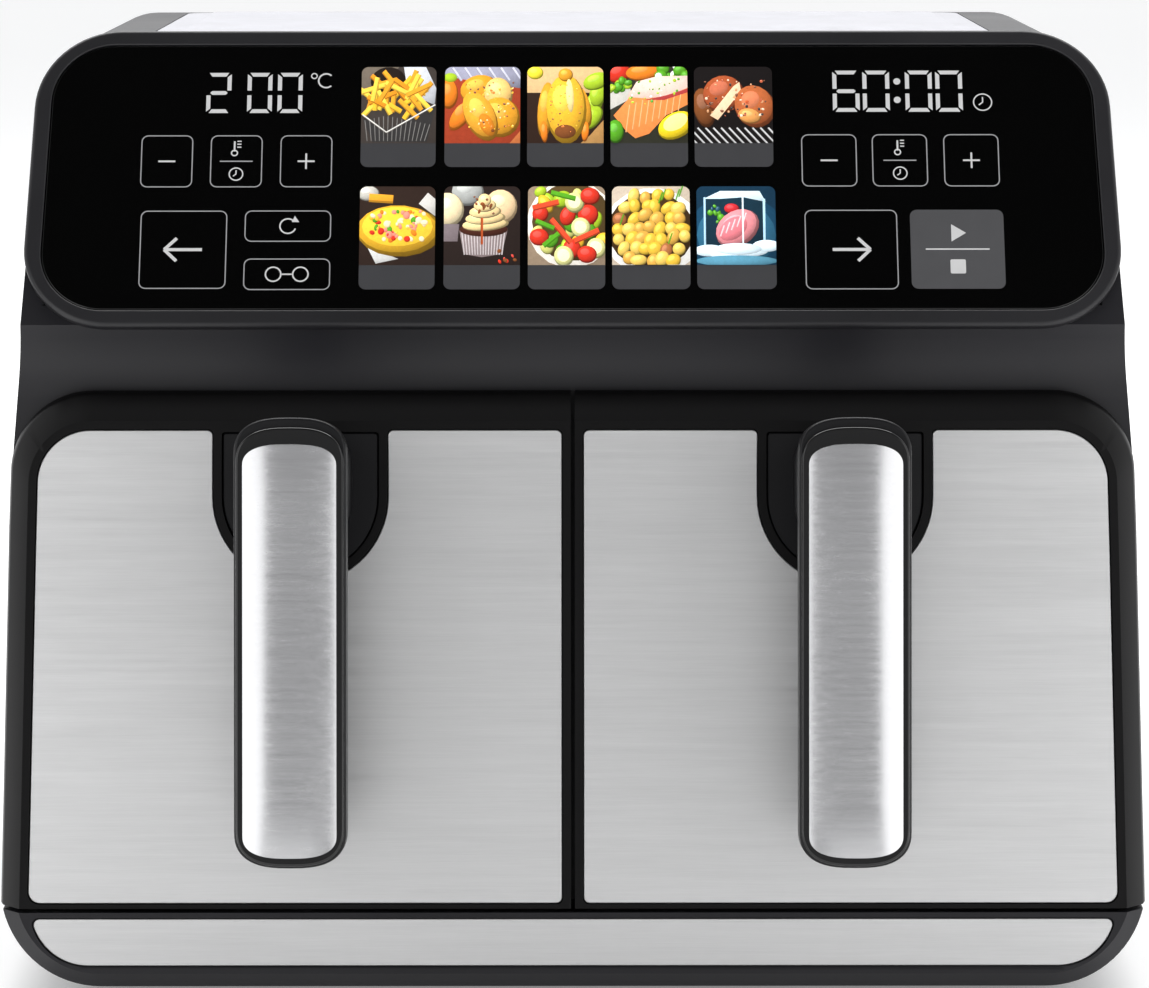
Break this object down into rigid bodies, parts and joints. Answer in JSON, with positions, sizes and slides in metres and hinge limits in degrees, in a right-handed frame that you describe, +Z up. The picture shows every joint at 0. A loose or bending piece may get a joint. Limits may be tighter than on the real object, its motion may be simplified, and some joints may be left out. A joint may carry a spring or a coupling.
{
  "type": "dual-drawer air fryer",
  "caption": "Countertop air fryer with side-by-side drawers, hanging bar handles, steel door faces and a leaning glass touch panel.",
  "frame": {"origin": "under the middle of the whole object, handles and cable inlet included, on the surface it stands on", "axes": "+X to the right seen from the front, +Y from the front to the back, +Z up"},
  "size_m": [0.387, 0.392, 0.3215],
  "materials": {
    "charcoal_plastic": "satin charcoal moulding",
    "black_gloss": "polished black",
    "panel_glass": "polished black glass, opaque",
    "brushed_steel": "brushed across",
    "satin_steel": "fine satin, silver grey",
    "coated_steel": "dark non-stick coating",
    "galvanised_steel": "plain zinc sheet",
    "heater_tube": "dark oxidised tube",
    "aluminium": "plain",
    "zinc_screw": "zinc plated",
    "black_rubber": "matt",
    "circuit_board": "green board"
  },
  "bodies": {
    "housing": {"outer_casing": "charcoal_plastic", "rear_cover": "charcoal_plastic", "rear_screw_left_lower": "zinc_screw", "rear_screw_left_upper": "zinc_screw", "rear_screw_right_lower": "zinc_screw", "rear_screw_right_upper": "zinc_screw", "cord_gland": "black_rubber", "base_housing": "charcoal_plastic", "base_trim_strip": "brushed_steel", "rubber_foot_front_left": "black_rubber", "rubber_foot_front_right": "black_rubber", "rubber_foot_rear_left": "black_rubber", "rubber_foot_rear_right": "black_rubber", "panel_bezel": "charcoal_plastic", "glass_panel": "panel_glass", "display_board": "circuit_board", "top_plate": "satin_steel", "front_frame": "charcoal_plastic", "power_board": "circuit_board", "left_chamber_liner": "galvanised_steel", "left_heater_guard": "galvanised_steel", "left_heater_coil": "heater_tube", "left_temperature_sensor": "zinc_screw", "left_door_switch": "black_gloss", "left_motor_bracket": "galvanised_steel", "left_fan_motor": "aluminium", "right_chamber_liner": "galvanised_steel", "right_heater_guard": "galvanised_steel", "right_heater_coil": "heater_tube", "right_temperature_sensor": "zinc_screw", "right_door_switch": "black_gloss", "right_motor_bracket": "galvanised_steel", "right_fan_motor": "aluminium"},
    "left_drawer": {"left_basket": "coated_steel", "left_door_frame": "charcoal_plastic", "left_door_plate": "brushed_steel", "left_handle_insert": "charcoal_plastic", "left_handle_bar": "black_gloss", "left_handle_cover": "brushed_steel", "left_handle_screw_lower": "zinc_screw", "left_handle_screw_upper": "zinc_screw"},
    "left_crisper": {"left_crisper_plate": "coated_steel"},
    "left_fan": {"left_motor_shaft": "zinc_screw", "left_hot_air_fan": "aluminium", "left_cooling_fan": "black_gloss"},
    "right_drawer": {"right_basket": "coated_steel", "right_door_frame": "charcoal_plastic", "right_door_plate": "brushed_steel", "right_handle_insert": "charcoal_plastic", "right_handle_bar": "black_gloss", "right_handle_cover": "brushed_steel", "right_handle_screw_lower": "zinc_screw", "right_handle_screw_upper": "zinc_screw"},
    "right_crisper": {"right_crisper_plate": "coated_steel"},
    "right_fan": {"right_motor_shaft": "zinc_screw", "right_hot_air_fan": "aluminium", "right_cooling_fan": "black_gloss"}
  },
  "joints": [
    {"name": "left_drawer_slide", "type": "slide", "parent": "housing", "child": "left_drawer", "axis": [0, -1, 0], "range_m": [0, 0.215]},
    {"name": "left_crisper_lift", "type": "slide", "parent": "left_drawer", "child": "left_crisper", "axis": [0, 0, 1], "range_m": [0, 0.1]},
    {"name": "left_fan_spin", "type": "hinge", "parent": "housing", "child": "left_fan", "pos_m": [-0.0945, 0.02401, 0.211], "axis": [0, 0, 1], "continuous": true},
    {"name": "right_drawer_slide", "type": "slide", "parent": "housing", "child": "right_drawer", "axis": [0, -1, 0], "range_m": [0, 0.215]},
    {"name": "right_crisper_lift", "type": "slide", "parent": "right_drawer", "child": "right_crisper", "axis": [0, 0, 1], "range_m": [0, 0.1]},
    {"name": "right_fan_spin", "type": "hinge", "parent": "housing", "child": "right_fan", "pos_m": [0.0945, 0.02401, 0.211], "axis": [0, 0, 1], "continuous": true}
  ]
}
